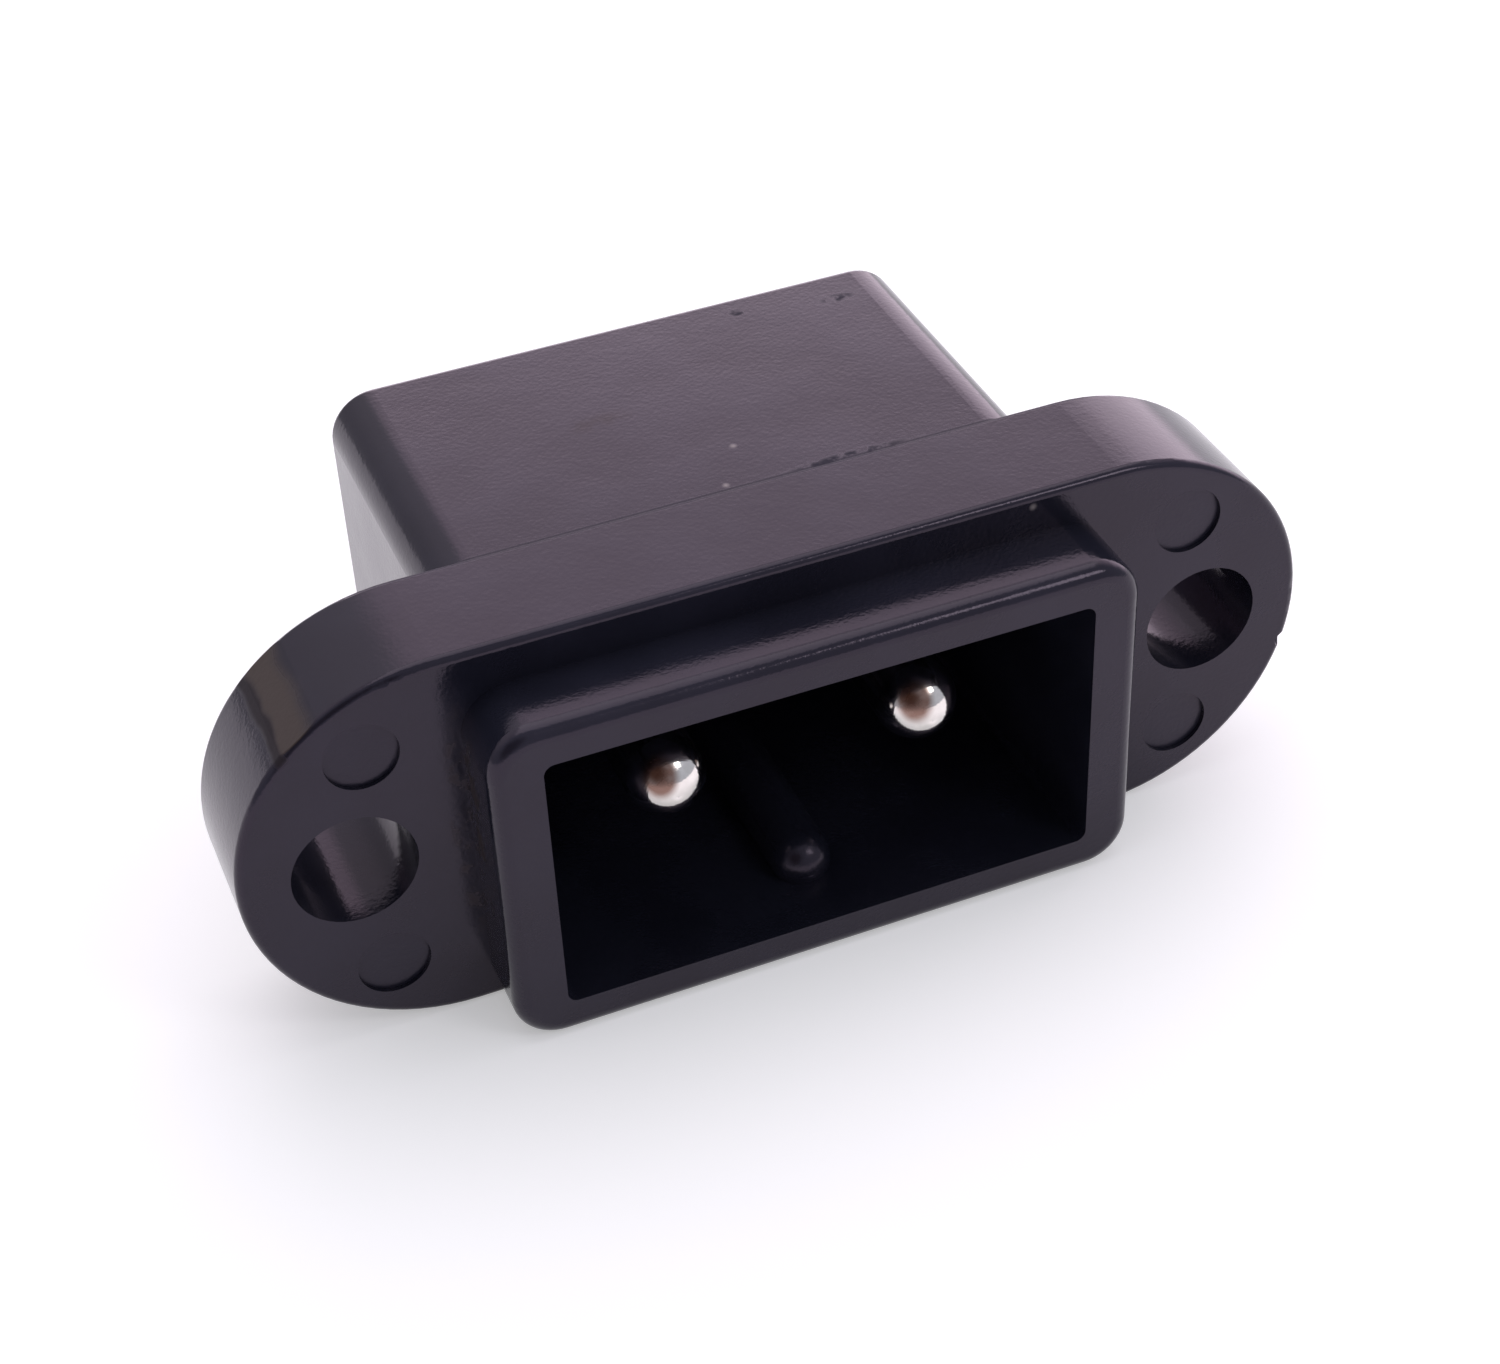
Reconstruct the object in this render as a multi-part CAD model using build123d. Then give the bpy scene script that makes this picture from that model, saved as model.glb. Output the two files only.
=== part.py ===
"""Two-pin panel mount socket: one black moulding with a screw flange, and two plated contact pins.

Millimetres. X runs along the flange, +Z is up and -Y faces the plug. The origin is the middle of
the flange's front face, which lies against the back of the panel.
"""
import os

from build123d import *

# Cavity: the plug's space, open at the collar's rim and closed by the body's back wall
cavity_width = 20.0
cavity_height = 10.6
cavity_corner_radius = 0.4
cavity_draft_degrees = 0.4
shelf_wall = 1.5
back_wall = 3.0

# Key: a half-round rib on the cavity's lower wall, which lets the plug in one way up only
key_width = 2.3
key_rise = 0.4
key_recess = 2.0

# Collar: the shroud that passes through the panel, flush with the flange's bottom
collar_side_wall = 1.85
collar_reach = 2.9
collar_step = 1.6
collar_corner_radius = 1.75
collar_rim_radius = 0.6

# Body: the box behind the flange, a tool mismatch lower than it at the top and bottom
body_side_wall = 1.3
body_step = 0.06
body_depth = 11.8
body_edge_radius = 1.75
body_back_radius = 0.3

# Flange: a plate with a round ear on each side of the collar and a screw hole in each ear
ear_length = 8.15
flange_thickness = 5.0
flange_edge_radius = 0.3
screw_inset = 4.0
screw_hole_diameter = 4.4

# Contact pins: a domed tip, a shoulder on the cavity's floor, a neck through the back wall, a solder tag
pin_spacing = 9.6
pin_drop = 0.2
pin_diameter = 3.0
pin_recess = 2.0
neck_diameter = 1.8
neck_clearance = 0.05
tag_clearance = 0.05
tag_length = 5.5
tag_width = 2.6
tag_thickness = 0.8
tag_swage = 1.2
tag_eye_diameter = 1.3

# Moulding marks: ejector pin recesses above and below each screw hole, and the trimmed gate on one end
ejector_inset = 4.8
ejector_rise = 4.6
ejector_diameter = 2.6
ejector_depth = 0.17
gate_angle_degrees = 52.0
gate_depth = 0.05

# Damage: a nick in the front edge of the other end
nick_angle_degrees = -16.5
nick_radius = 0.35

# Sizes and places that follow from the ones above
collar_width = cavity_width + 2 * collar_side_wall
collar_height = cavity_height + 2 * shelf_wall
body_width = cavity_width + 2 * body_side_wall
flange_height = collar_height + collar_step
body_height = flange_height - 2 * body_step
flange_length = collar_width + 2 * ear_length
flange_end_radius = flange_height / 2
flange_end_center = flange_length / 2 - flange_end_radius
screw_x = flange_length / 2 - screw_inset
ejector_x = flange_length / 2 - ejector_inset
pin_x = pin_spacing / 2
collar_middle = -collar_step / 2
body_back = flange_thickness + body_depth
cavity_floor = body_back - back_wall
cavity_depth = cavity_floor + collar_reach
key_axis = collar_middle - cavity_height / 2 + key_rise


def across(depth):
    """Drawing plane across the socket at a depth behind the panel: X to the right, Z up."""
    return Plane.XZ.offset(-depth)


def rod(diameter, tip, *rear):
    """Round bar along Y with a domed tip towards the plug; rear lists the (radius, depth) steps behind it."""
    radius = diameter / 2
    shoulder = tip + radius
    dome = RadiusArc((0, tip), (radius, shoulder), -radius)
    side = Polyline((radius, shoulder), *rear, (0, rear[-1][1]), (0, tip))
    outline = make_face(Plane.XY * (Curve() + [dome, side]))
    return revolve(outline, Axis.Y)


def make_flange():
    """Plate with round ends and softened edges."""
    plate = extrude(across(0) * SlotOverall(flange_length, flange_height), -flange_thickness)
    outlines = plate.faces().filter_by(Axis.Y).edges()
    return fillet(outlines, flange_edge_radius)


def make_body():
    """Box behind the flange, started inside the plate so that the two fuse."""
    start = flange_thickness / 2
    section = RectangleRounded(body_width, body_height, body_edge_radius)
    box = extrude(across(start) * section, start - body_back)
    back_outline = box.faces().sort_by(Axis.Y)[-1].edges()
    return fillet(back_outline, body_back_radius)


def make_collar():
    """Shroud in front of the flange with a rounded rim, started inside the plate."""
    start = flange_thickness / 2
    section = Pos(0, collar_middle) * RectangleRounded(collar_width, collar_height, collar_corner_radius)
    shroud = extrude(across(start) * section, start + collar_reach)
    rim_outline = shroud.faces().sort_by(Axis.Y)[0].edges()
    return fillet(rim_outline, collar_rim_radius)


def make_cavity():
    """Plug space, which narrows a little towards its floor so that the moulding leaves the tool."""
    mouth_plane = Plane((0, -collar_reach, collar_middle), x_dir=(1, 0, 0), z_dir=(0, 1, 0))
    mouth = mouth_plane * Rectangle(cavity_width, cavity_height)
    space = extrude(mouth, cavity_depth, taper=cavity_draft_degrees)
    ends = space.faces().sort_by(Axis.Y)
    corners = space.edges() - ends[0].edges() - ends[-1].edges()
    return fillet(corners, cavity_corner_radius)


def make_key():
    """Polarising rib with a domed end, sunk into the cavity's lower wall and rooted in the back wall."""
    root = cavity_floor + back_wall / 2
    rib = rod(key_width, key_recess - collar_reach, (key_width / 2, root))
    return Pos(0, 0, key_axis) * rib


def make_holes():
    """Screw holes through the flange and the pins' bores through the back wall."""
    screw = extrude(across(0) * Circle(screw_hole_diameter / 2), -flange_thickness)
    bore = extrude(across(cavity_floor) * Circle(neck_diameter / 2 + neck_clearance), -back_wall)
    screws = [Pos(side * screw_x, 0, 0) * screw for side in (-1, 1)]
    bores = [Pos(side * pin_x, 0, -pin_drop) * bore for side in (-1, 1)]
    return screws + bores


def on_end(side, angle_degrees, radius):
    """Place on one round end of the flange, at an angle above the horizontal; its X points outward."""
    turn = 180 + angle_degrees if side < 0 else -angle_degrees
    return Pos(side * flange_end_center, 0, 0) * Rot(0, turn, 0) * Pos(radius, 0, 0)


def make_marks():
    """Ejector recesses in the flange's face, the gate's flat on the left end and the nick on the right."""
    recess = extrude(across(0) * Circle(ejector_diameter / 2), -ejector_depth)
    layout = [
        Pos(side * ejector_x, 0, level * ejector_rise)
        for side in (-1, 1)
        for level in (-1, 1)
    ]
    trim_size = flange_end_radius
    trim = Box(trim_size, flange_thickness, trim_size, align=(Align.MIN, Align.MIN, Align.CENTER))
    gate = on_end(-1, gate_angle_degrees, flange_end_radius - gate_depth) * trim
    nick = on_end(1, nick_angle_degrees, flange_end_radius) * Sphere(nick_radius)
    return [place * recess for place in layout] + [gate, nick]


def make_housing():
    """Flange, body and collar fused, then hollowed, keyed, pierced and marked."""
    shell = make_flange() + make_body() + make_collar()
    hollow = shell - make_cavity()
    keyed = hollow + make_key()
    return keyed - make_holes() - make_marks()


def make_pin(side):
    """Contact pin on one side: side is -1 for left and 1 for right."""
    neck_radius = neck_diameter / 2
    tag_start = body_back + tag_clearance
    tag_end = body_back + tag_length
    bar = rod(
        pin_diameter,
        pin_recess - collar_reach,
        (pin_diameter / 2, cavity_floor),
        (neck_radius, cavity_floor),
        (neck_radius, tag_start),
        (tag_thickness / 2, tag_start + tag_swage),
    )
    end_radius = tag_width / 2
    end_middle = tag_end - end_radius
    blade_middle = (tag_start + end_middle) / 2
    blade = Pos(0, blade_middle) * Rectangle(tag_width, end_middle - tag_start)
    outline = blade + Pos(0, end_middle) * Circle(end_radius)
    outline = outline - Pos(0, end_middle) * Circle(tag_eye_diameter / 2)
    tag = extrude(outline, tag_thickness / 2, both=True)
    return Pos(side * pin_x, 0, -pin_drop) * (bar + tag)


nodes = {
    "housing": make_housing(),
    "contact_pin_left": make_pin(-1),
    "contact_pin_right": make_pin(1),
}

os.makedirs("parts", exist_ok=True)
for name, solid in nodes.items():
    export_step(solid, f"parts/{name}.step")
    box = solid.bounding_box()
    print(name, f"{solid.volume:.1f} mm3", box.min, box.max)
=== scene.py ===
# %% [markdown]
# # A panel mount socket in black plastic
# This lesson dresses a small electrical inlet: one glossy black moulding and two plated pins.
# The solids come from the CAD model and already have the right shape and size, in metres.
# Blender adds what CAD leaves out: the finish of each surface, the marks of moulding and use,
# the paper that the part lies on, the light and the camera.

# %% Load the frame
import math

import bmesh
import bpy
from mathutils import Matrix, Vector


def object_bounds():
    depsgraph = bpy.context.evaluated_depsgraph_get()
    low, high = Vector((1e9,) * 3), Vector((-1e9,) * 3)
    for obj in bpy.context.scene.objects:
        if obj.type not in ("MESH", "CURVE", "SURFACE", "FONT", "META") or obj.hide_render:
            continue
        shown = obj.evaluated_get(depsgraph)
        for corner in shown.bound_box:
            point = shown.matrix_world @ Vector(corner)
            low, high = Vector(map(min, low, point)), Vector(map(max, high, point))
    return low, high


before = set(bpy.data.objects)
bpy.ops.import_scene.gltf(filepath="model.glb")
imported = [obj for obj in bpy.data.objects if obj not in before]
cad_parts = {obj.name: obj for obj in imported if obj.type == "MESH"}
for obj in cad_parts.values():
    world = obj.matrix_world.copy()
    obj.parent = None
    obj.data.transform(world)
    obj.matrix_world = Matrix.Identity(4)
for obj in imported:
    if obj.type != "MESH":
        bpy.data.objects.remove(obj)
cad_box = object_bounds()
scene = bpy.context.scene
print("nodes:", sorted(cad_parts))
print("CAD box:", [[round(value, 5) for value in corner] for corner in cad_box])

# %% [markdown]
# ## Camera
# The picture looks down at the part from the front left, with a lens a little longer than normal.
# The camera could be moved by eye until the edges agree. Here its place, turn and focal length come
# from matching corners and hole rims of the model to the same points in the picture, because a wrong
# focal length would spoil every edge that runs away from the eye.

# %% Camera
focal_length = 66.41
camera_place = (-0.0278165, -0.0688437, 0.0616151)
camera_turn = (51.4955, 2.2359, -22.5867)

camera_data = bpy.data.cameras.new("camera")
camera_data.sensor_width = 36.0
camera_data.lens = focal_length
camera_data.clip_start = 0.005
camera = bpy.data.objects.new("camera", camera_data)
camera.location = camera_place
camera.rotation_euler = [math.radians(angle) for angle in camera_turn]
scene.collection.objects.link(camera)
scene.camera = camera
print("camera distance (m):", round(camera.location.length, 4))

# %% [markdown]
# ## Shader graphs
# Every finish below, and the room around the part, is a small graph of shader nodes. They could be
# wired by hand in the editor. In a script, two classes keep the wiring short: one adds a node and
# either links a socket or writes a plain value into it, and the other does so in a new material.

# %% Graph helper
class Graph:
    """Node tree with short ways to add nodes and join them."""

    def __init__(self, tree):
        self.tree = tree

    def put(self, socket, value):
        """Link a socket's value, or write a plain one."""
        if isinstance(value, bpy.types.NodeSocket):
            self.tree.links.new(value, socket)
        else:
            socket.default_value = value

    def node(self, kind, inputs=(), **settings):
        """Add a node, with its settings and the values of its inputs by name."""
        node = self.tree.nodes.new("ShaderNode" + kind)
        for name, value in settings.items():
            setattr(node, name, value)
        for name, value in dict(inputs).items():
            self.put(node.inputs[name], value)
        return node

    def number(self, operation, *values):
        """Arithmetic on plain numbers."""
        node = self.node("Math", operation=operation)
        for socket, value in zip(node.inputs, values):
            self.put(socket, value)
        return node.outputs[0]

    def vector(self, operation, *values):
        """Arithmetic on vectors; a length or a dot product comes out as a number."""
        node = self.node("VectorMath", operation=operation)
        for socket, value in zip(node.inputs, values):
            self.put(socket, value)
        return node.outputs["Value" if operation in ("LENGTH", "DOT_PRODUCT") else "Vector"]

    def axes(self, place):
        """X, Y and Z of a place, by name."""
        return self.node("SeparateXYZ", {"Vector": place}).outputs

    def total(self, first, second):
        """Sum of two numbers."""
        return self.number("ADD", first, second)

    def product(self, first, second):
        """Product of two numbers, such as a mask and its strength."""
        return self.number("MULTIPLY", first, second)

    def most(self, first, *others):
        """Largest of some numbers, which lays masks over one another."""
        for other in others:
            first = self.number("MAXIMUM", first, other)
        return first

    def noise(self, place, scale, detail=2.0):
        """Cloudy pattern from 0 to 1, with about scale clouds in a millimetre."""
        inputs = {"Vector": place, "Scale": scale, "Detail": detail}
        return self.node("TexNoise", inputs).outputs["Fac"]

    def span(self, value, start, end, low=0.0, high=1.0):
        """Ease from low to high while the value goes from start to end."""
        inputs = {"Value": value, "From Min": start, "From Max": end, "To Min": low, "To Max": high}
        return self.node("MapRange", inputs, interpolation_type="SMOOTHSTEP").outputs["Result"]

    def blend(self, amount, below, above):
        """Colour that goes from below to above; a mix node's colour sockets are 6, 7 and output 2."""
        node = self.node("Mix", {"Factor": amount}, data_type="RGBA")
        self.put(node.inputs[6], below)
        self.put(node.inputs[7], above)
        return node.outputs[2]

    def spot(self, place, middle, reach, edge=0.2):
        """Mask that is 1 inside an ellipsoid and fades out over the share edge of its size."""
        offset = self.vector("SUBTRACT", place, middle)
        share = self.vector("LENGTH", self.vector("DIVIDE", offset, reach))
        return self.span(share, 1.0, 1.0 - edge)

    def tell(self, step):
        """Print how large the graph is after a step."""
        print(f"{step}: {len(self.tree.nodes)} nodes")


print("graph helpers:", [name for name in vars(Graph) if not name.startswith("_")])

# %% [markdown]
# A finish is a graph that ends in a Principled shader. Places on the part are given in millimetres,
# so the object's own coordinates are scaled up first. They stay with the part from every side
# and need no unwrapping, which suits a moulding without a printed pattern.

# %% Finish helper
class Finish(Graph):
    """Material with a Principled shader."""

    def __init__(self, name):
        self.material = bpy.data.materials.new(name)
        self.material.use_nodes = True
        super().__init__(self.material.node_tree)
        self.shader = self.tree.nodes["Principled BSDF"]

    def millimetres(self):
        """Place on the part, in millimetres."""
        place = self.node("TexCoord").outputs["Object"]
        scale = self.node("VectorMath", {"Vector": place, "Scale": 1000.0}, operation="SCALE")
        return scale.outputs["Vector"]

    def set(self, **values):
        """Give the shader's inputs, named with underscores, their values."""
        for name, value in values.items():
            self.put(self.shader.inputs[name.replace("_", " ")], value)

    def dress(self, *names):
        """Put the finish on nodes of the part."""
        for name in names:
            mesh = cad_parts[name].data
            mesh.materials.clear()
            mesh.materials.append(self.material)
        self.tell(f"{self.material.name} on {', '.join(names)}")


print("finish helpers:", [name for name in vars(Finish) if not name.startswith("_")])

# %% [markdown]
# ## Paper
# The part lies on white paper. It could be a curved backdrop, but the picture shows no horizon,
# so a plain grid at the height of the part's lowest face is enough.

# %% Paper sheet
floor_height = cad_box[0][2]
paper_half_width = 3.0

paper_mesh = bpy.data.meshes.new("paper")
shape = bmesh.new()
bmesh.ops.create_grid(shape, x_segments=1, y_segments=1, size=paper_half_width)
bmesh.ops.translate(shape, verts=shape.verts, vec=(0, 0, floor_height))
shape.to_mesh(paper_mesh)
shape.free()
paper = bpy.data.objects.new("paper", paper_mesh)
scene.collection.objects.link(paper)
print("paper at z =", round(floor_height, 5))

# %% [markdown]
# Most of the paper's brightness comes from the lamps, so it keeps the shadow of the part.
# A little glow lifts the rest to white. Stronger lamps would do that too, but they would also bleach
# the part, so only the camera and mirror-like surfaces see the glow.

# %% Paper finish
paper_colour = (0.805, 0.795, 0.815, 1)
paper_glow = 0.36

white_paper = Finish("white paper")
ray = white_paper.node("LightPath").outputs
seen = white_paper.most(ray["Is Camera Ray"], ray["Is Glossy Ray"], ray["Is Transmission Ray"])
white_paper.set(
    Base_Color=paper_colour,
    Roughness=0.95,
    Specular_IOR_Level=0.0,
    Emission_Color=(1, 1, 1, 1),
    Emission_Strength=white_paper.product(seen, paper_glow),
)
paper_mesh.materials.append(white_paper.material)
white_paper.tell("white paper")

# %% [markdown]
# ## Plastic
# Black plastic has almost no colour of its own. What the eye sees is its gloss:
# each face mirrors what lies opposite it, more strongly at a glancing angle.
# So most of the wear below is a change of roughness, which breaks the mirror, and only dirt and a few
# painted highlights have colour.
# One flat black would look drawn, so slow clouds mix two blacks and two degrees of gloss.

# %% Plastic ground
deep_black = (0.0095, 0.0100, 0.0170, 1)
soft_black = (0.0130, 0.0137, 0.0230, 1)
glossy, satin = 0.12, 0.17

plastic = Finish("black plastic")
mm = plastic.millimetres()
cloud = plastic.noise(mm, 0.22, 3.0)
colour = plastic.blend(plastic.span(cloud, 0.35, 0.65), deep_black, soft_black)
roughness = plastic.span(cloud, 0.3, 0.7, glossy, satin)
plastic.tell("plastic ground")

# %% [markdown]
# The inside of the cavity and the four round ejector marks were polished less than the rest of the mould.
# Their faces could be picked out by hand and given a second material. Masks by place keep one material:
# a box for the cavity, and one ellipsoid on the sizes of X and Z for all four marks,
# because the marks are mirror images of one another.

# %% Unpolished places
cavity_middle = (0, 0, -0.8)
cavity_half = (10.0, 1.0, 5.3)
cavity_end = (14.6, 14.2)
ejector_middle = (15.2, 0.1, 4.6)
ejector_reach = (1.34, 0.5, 1.34)
cavity_dullness, ejector_dullness = 0.10, 0.16

inward = plastic.vector("DIVIDE", plastic.vector("SUBTRACT", mm, cavity_middle), cavity_half)
inward = plastic.axes(plastic.vector("ABSOLUTE", inward))
cavity = plastic.span(plastic.most(inward["X"], inward["Z"]), 1.02, 1.002)
cavity = plastic.product(cavity, plastic.span(plastic.axes(mm)["Y"], *cavity_end))
ejector = plastic.spot(plastic.vector("ABSOLUTE", mm), ejector_middle, ejector_reach, 0.04)
dull = plastic.most(plastic.product(cavity, cavity_dullness), plastic.product(ejector, ejector_dullness))
roughness = plastic.total(roughness, dull)
plastic.tell("with unpolished places")

# %% [markdown]
# The gate, where the plastic was let into the mould, was cut off the left end with a knife.
# The CAD model has the small flat. Its torn, brown skin and the dark line where the blade stopped are
# too thin to model, so they are masks on two distances: out from the middle of the round end,
# and along the flat. A slow noise makes the line wander as a hand does.

# %% Gate scar
gate_angle = math.radians(52)
end_middle = (-12.4, 0, 0)
outward = (-math.cos(gate_angle), 0, math.sin(gate_angle))
along = (-math.sin(gate_angle), 0, -math.cos(gate_angle))
blade_stop = 0.98
torn_brown = (0.050, 0.036, 0.022, 1)
cut_black = (0.004, 0.003, 0.003, 1)
torn_roughness, cut_roughness = 0.28, 0.5

from_end = plastic.vector("SUBTRACT", mm, end_middle)
height = plastic.vector("DOT_PRODUCT", from_end, outward)
wander = plastic.span(plastic.noise(mm, 0.45), 0.3, 0.7, -0.14, 0.14)
across = plastic.total(plastic.vector("DOT_PRODUCT", from_end, along), wander)
brown = plastic.product(plastic.span(height, 7.50, 7.55), plastic.span(across, -0.95, -0.1, 0.0, 0.8))
from_blade = plastic.number("ABSOLUTE", plastic.number("SUBTRACT", across, blade_stop))
cut = plastic.product(plastic.span(from_blade, 0.42, 0.10), plastic.span(height, 7.25, 7.45))
colour = plastic.blend(brown, colour, torn_brown)
colour = plastic.blend(cut, colour, cut_black)
torn = plastic.most(plastic.product(brown, torn_roughness), plastic.product(cut, cut_roughness))
roughness = plastic.total(roughness, torn)
plastic.tell("with the gate scar")

# %% [markdown]
# Use left scuffs on the top of the body and in the joint between body and flange.
# They could be painted, but a painted picture would need an unwrapped mesh and a file.
# Each scuff is an ellipsoid around a place in millimetres, and noise frays its outline.

# %% Scuffs
scuffs = {
    "near the back edge": ((4.5, 15.7, 7.5), (0.45, 0.40, 0.5)),
    "by the back right corner": ((8.35, 15.0, 7.5), (0.95, 0.40, 0.5)),
    "along the joint": ((4.4, 5.0, 7.5), (3.7, 0.40, 0.5)),
}
joint_middle, joint_reach = (0, 4.85, 7.6), (40.0, 0.22, 0.4)
scuff_roughness, joint_roughness = 0.70, 0.50

scuffed = plastic.most(*[plastic.spot(mm, middle, reach, 0.7) for middle, reach in scuffs.values()])
fray = plastic.span(plastic.noise(mm, 2.2, 4.0), 0.35, 0.6)
scuffed = plastic.product(plastic.product(scuffed, fray), scuff_roughness)
joint = plastic.product(plastic.spot(mm, joint_middle, joint_reach, 0.5), joint_roughness)
plastic.tell(f"with {len(scuffs)} scuffs")

# %% [markdown]
# Dirt has a colour of its own: brown grime in the corner at the foot of the collar and a faint dark
# smudge on the top. A few pale specks are partly crumbs of dust and partly painted highlights on the
# gloss.
# Dust could be tiny meshes, but at a tenth of a millimetre a pale spot in the colour looks the same.

# %% Grime, smudge, dust and painted highlights
grime_brown = (0.030, 0.022, 0.018, 1)
smudge_black = (0.003, 0.003, 0.004, 1)
dust_and_highlight_grey = (0.20, 0.18, 0.18, 1)
grime_middle, grime_reach = (-12.0, -0.4, 0.6), (0.75, 1.6, 6.0)
smudge_middle, smudge_reach = (-2.9, 10.9, 7.5), (1.9, 0.7, 0.5)
grime_cover, grime_roughness = 0.8, 0.30
speck_reach = (0.20, 0.20, 0.20)
crumbs = {
    "top": (0.95, 7.35, 7.54),
    "joint": (-0.2, 5.2, 7.54),
    "under the flange edge": (9.0, 0.0, 7.1),
    "collar corner": (-11.3, -1.9, 4.6),
    "collar side": (-11.7, -1.6, 2.0),
}

grime = plastic.spot(mm, grime_middle, grime_reach, 0.5)
grime = plastic.product(grime, plastic.span(plastic.noise(mm, 0.9, 5.0), 0.48, 0.62))
smudge = plastic.spot(mm, smudge_middle, smudge_reach, 0.8)
smudge = plastic.product(smudge, plastic.span(plastic.noise(mm, 1.3, 4.0), 0.35, 0.62))
# Pale specks: partly crumbs of dust, partly painted highlights.
dust_and_highlights = plastic.most(*[plastic.spot(mm, middle, speck_reach, 1.0) for middle in crumbs.values()])
colour = plastic.blend(plastic.product(grime, grime_cover), colour, grime_brown)
colour = plastic.blend(smudge, colour, smudge_black)
colour = plastic.blend(dust_and_highlights, colour, dust_and_highlight_grey)
worn = plastic.most(scuffed, plastic.product(grime, grime_roughness), joint)
roughness = plastic.total(roughness, worn)
plastic.tell(f"with grime, a smudge and {len(crumbs)} crumbs")

# %% [markdown]
# Two bumps make the gloss look moulded: a fine grain, stronger where the mould was polished less,
# and a slow waviness from shrinkage, which bends the reflections a little. Both are a few hundredths
# of a millimetre high at most, far too low for geometry. The gloss itself is the same all over,
# so its level and tint are plain values on the shader.

# %% Plastic surface
wave_depth = 2.5e-5
grain_depth = 1.0e-5
gloss_level = 0.40
gloss_tint = (0.97, 0.80, 1.0, 1)

wave = plastic.node("Bump", {"Height": cloud, "Strength": 1.0, "Distance": wave_depth})
grain_share = plastic.total(0.7, plastic.product(dull, 3.0))
grain = plastic.product(plastic.noise(mm, 6.0, 3.0), grain_share)
surface = {"Height": grain, "Distance": grain_depth, "Normal": wave.outputs["Normal"]}
plastic.set(
    Base_Color=colour,
    Roughness=roughness,
    Normal=plastic.node("Bump", surface).outputs["Normal"],
    Specular_IOR_Level=gloss_level,
    Specular_Tint=gloss_tint,
)
plastic.dress("housing")

# %% [markdown]
# ## Plating
# The pins are turned brass with nickel on top. Each could have a finish of its own, but they are alike,
# so they share one: wrapping X at the spacing of the pins gives the place from the axis of either pin.

# %% Place on a pin
pin_spacing = 9.6
pin_height = -0.2

plating = Finish("nickel plating")
pin_mm = plating.millimetres()
parts = plating.axes(pin_mm)
wrapped = plating.number("WRAP", parts["X"], pin_spacing, 0.0)
side = plating.number("SUBTRACT", wrapped, pin_spacing / 2)
rise = plating.number("SUBTRACT", parts["Z"], pin_height)
on_pin = plating.node("CombineXYZ", {"X": side, "Y": parts["Y"], "Z": rise}).outputs["Vector"]
square = plating.total(plating.number("POWER", side, 2.0), plating.number("POWER", rise, 2.0))
from_axis = plating.number("SQRT", square)
plating.tell("place on a pin")

# %% [markdown]
# Plugs have rubbed the tips, so the warm brass comes through on one side of each dome. The brown patch is
# also a painted dark reflection: it darkens the middle of each dome, so the mirrored paper shows as a
# thin crescent.
# The tags at the back are tinned for soldering, which leaves them duller than the bright pins.
# The lathe's fine rings, about seven in a millimetre, are a bump: a sine of the way from the tip,
# out from the axis and then along it.

# %% Plating
bright_nickel = (0.85, 0.81, 0.78, 1)
dim_nickel = (0.76, 0.72, 0.69, 1)
brass_and_dark_reflection = (0.26, 0.16, 0.13, 1)
brass_and_reflection_middle, brass_and_reflection_reach = (-0.52, -0.52, 0.80), (0.78, 1.0, 1.0)
patch_roughness, tinned_roughness = 0.16, 0.34
tag_start = (16.4, 17.2)
ring_rate = 45.0
ring_depth = 8.0e-7

mottle = plating.noise(pin_mm, 1.6, 3.0)
nickel = plating.blend(plating.span(mottle, 0.35, 0.65), dim_nickel, bright_nickel)
# Brown patch on each dome: partly rubbed brass, partly a painted dark reflection.
rubbed_and_dark_reflection = plating.spot(on_pin, brass_and_reflection_middle, brass_and_reflection_reach, 0.45)
rubbed_and_dark_reflection = plating.product(rubbed_and_dark_reflection, plating.span(mottle, 0.3, 0.55, 0.80, 1.0))
tinned = plating.span(parts["Y"], *tag_start)
tinned = plating.product(tinned, tinned_roughness)
duller = plating.total(plating.product(rubbed_and_dark_reflection, patch_roughness), tinned)
rings = plating.number("SINE", plating.product(plating.total(from_axis, parts["Y"]), ring_rate))
turned = plating.node("Bump", {"Height": rings, "Strength": 0.3, "Distance": ring_depth})
plating.set(
    Base_Color=plating.blend(rubbed_and_dark_reflection, nickel, brass_and_dark_reflection),
    Metallic=1.0,
    Roughness=plating.total(plating.span(mottle, 0.3, 0.7, 0.08, 0.13), duller),
    Normal=turned.outputs["Normal"],
)
plating.dress("contact_pin_left", "contact_pin_right")

# %% [markdown]
# ## Room
# Glossy plastic and bright metal show the room around them. It could be a photographed panorama.
# Here the room is a function of direction, which needs no file: grey walls under a ceiling,
# the soft glow of a window behind the part and to its right, a grey front,
# and a dim, warm side at the front left, which the pins mirror as a dark patch.

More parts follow.
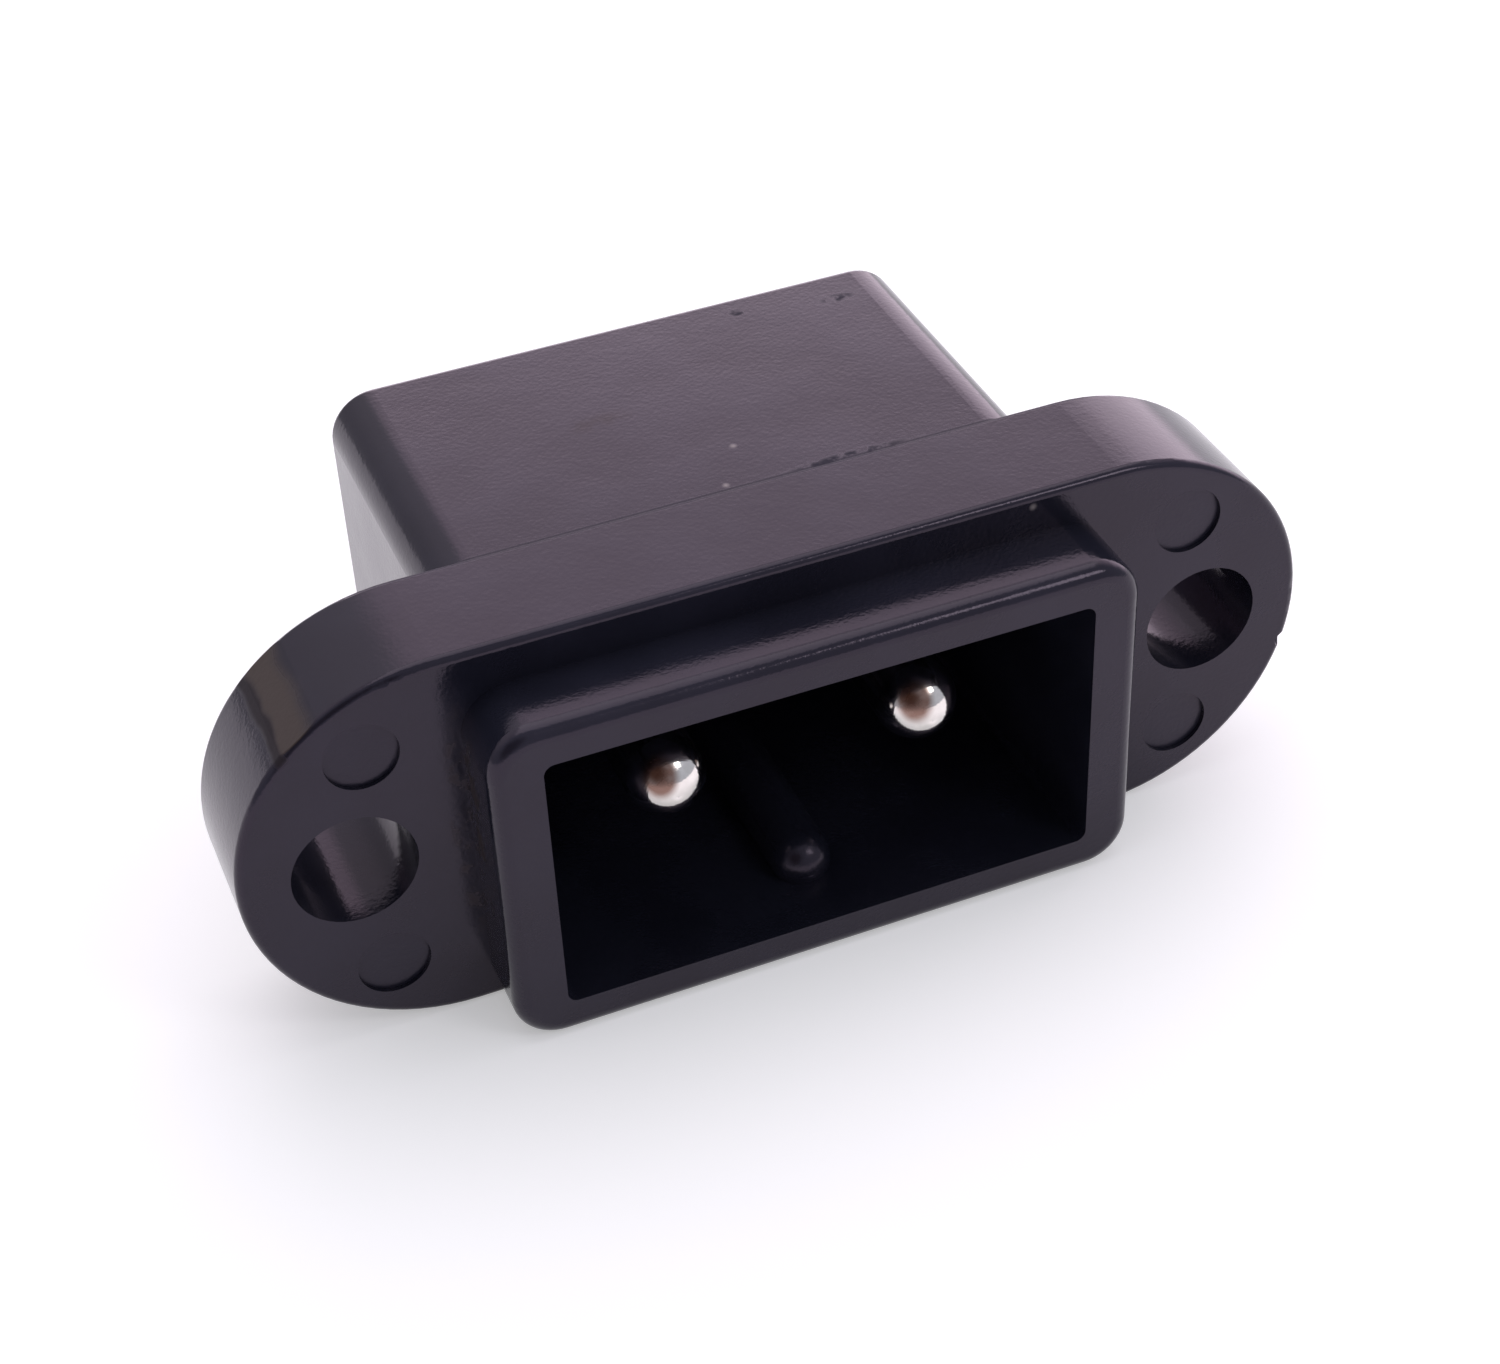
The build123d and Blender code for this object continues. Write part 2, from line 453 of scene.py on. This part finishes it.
# %% Room
wall = (0.50, 0.48, 0.53, 1)
ceiling = (0.92, 0.88, 0.93, 1)
window_low = (2.90, 2.48, 2.78, 1)
window_high = (1.55, 1.33, 1.49, 1)
front = (0.48, 0.50, 0.56, 1)
dim_warm = (0.12, 0.075, 0.06, 1)
dim_middle, dim_reach = (-0.52, -0.66, 0.52), (0.62, 0.62, 0.62)

world = bpy.data.worlds.new("room")
scene.world = world
world.use_nodes = True
room = Graph(world.node_tree)
heading = room.node("TexCoord").outputs["Generated"]
facing = room.axes(heading)
light = room.blend(room.span(facing["Z"], 0.15, 0.75), wall, ceiling)
window = room.blend(room.span(facing["Z"], 0.40, 0.57), window_low, window_high)
window = room.blend(room.span(facing["Z"], 0.62, 0.85), window, ceiling)
light = room.blend(room.span(facing["X"], -0.12, 0.12), light, window)
light = room.blend(room.span(facing["Y"], -0.25, 0.35), front, light)
dim_side = room.spot(heading, dim_middle, dim_reach, 0.6)
light = room.blend(dim_side, light, dim_warm)
room.put(world.node_tree.nodes["Background"].inputs["Color"], light)
room.tell("room")

# %% [markdown]
# ## Lamps
# A large soft lamp overhead gives the shadow its soft edge. A sun would cut it hard.
# A small lamp in front and to the right puts a glint on each pin. Together with the room they light
# an upward face at a level of about 1, at which a colour renders as it is written.

# %% Lamps
def soft_lamp(name, place, width, power):
    """Square lamp that faces the part."""
    data = bpy.data.lights.new(name, "AREA")
    data.shape = "SQUARE"
    data.size = width
    data.energy = power
    lamp = bpy.data.objects.new(name, data)
    lamp.location = place
    lamp.rotation_euler = (-Vector(place)).to_track_quat("-Z", "Y").to_euler()
    scene.collection.objects.link(lamp)
    print(name, "of", power, "W at", place)


soft_lamp("ceiling lamp", (0.06, 0.14, 0.58), 0.50, 0.80)
soft_lamp("glint lamp", (0.26, -0.34, 0.38), 0.15, 0.28)

# %% [markdown]
# ## Colour view
# The Standard view shows each colour as it is written, where a film-like view would grey the blacks.

# %% Colour view
scene.view_settings.view_transform = "Standard"
